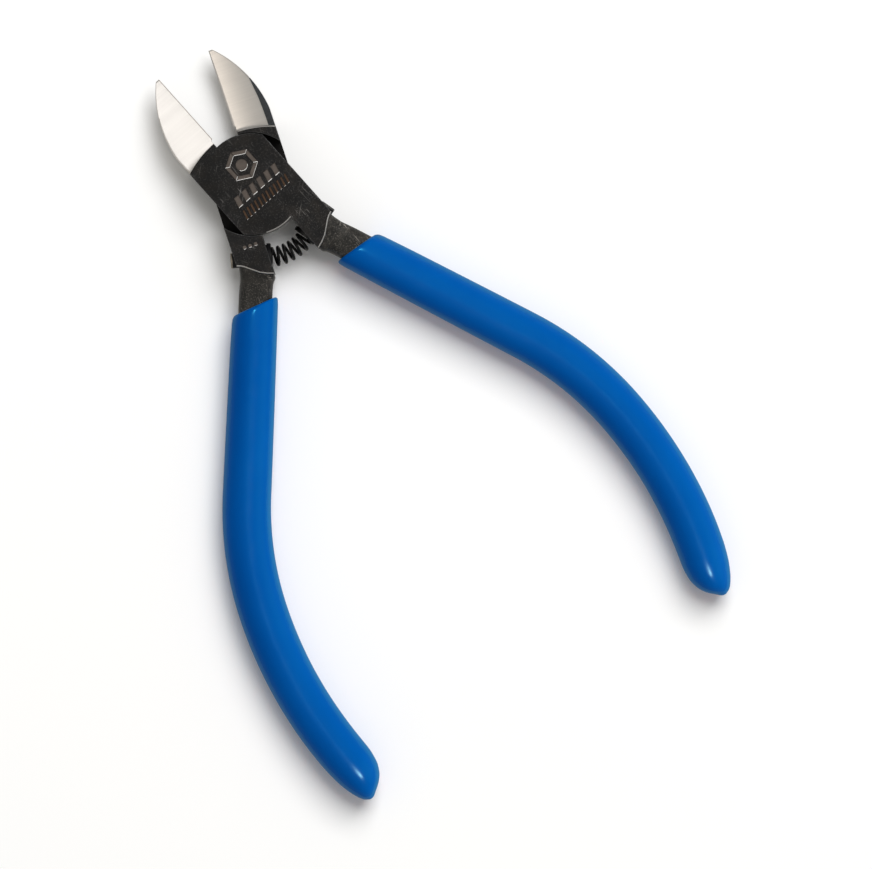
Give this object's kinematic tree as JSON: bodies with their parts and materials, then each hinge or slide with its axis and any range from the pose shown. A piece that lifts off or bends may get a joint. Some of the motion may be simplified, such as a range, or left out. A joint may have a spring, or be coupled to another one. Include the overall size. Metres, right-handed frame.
{
  "type": "diagonal cutting pliers",
  "caption": "Small diagonal cutting pliers with a lap joint, ground blades, a coil return spring between the arms and curved plastic-dipped handles.",
  "frame": {"origin": "on the pivot axis, in the plane of the head's flat back", "axes": "+X across the tool to the right as seen from the marked face, +Y from the handles to the blade tips, +Z out of the marked face"},
  "size_m": [0.078, 0.1193, 0.0086],
  "materials": {
    "lever_steel": "black oxide, flat ground, with bright ground blades",
    "rivet_steel": "black oxide, ground flush",
    "spring_wire": "black",
    "seat_steel": "blackened, turned",
    "grip_plastic": "glossy dipped plastic"
  },
  "bodies": {
    "lower_half": {"lower_lever": "lever_steel", "left_spring_seat": "seat_steel", "left_grip": "grip_plastic", "return_spring": "spring_wire"},
    "upper_half": {"upper_lever": "lever_steel", "pivot_rivet": "rivet_steel", "right_spring_seat": "seat_steel", "right_grip": "grip_plastic"}
  },
  "joints": [
    {"name": "pivot", "type": "hinge", "parent": "lower_half", "child": "upper_half", "pos_m": [0, 0, 0.004], "axis": [0, 0, -1], "range_deg": [0, 23.5], "stiffness_Nm_per_rad": 0.42, "springref_deg": -6.88, "deforming": ["return_spring"]}
  ]
}
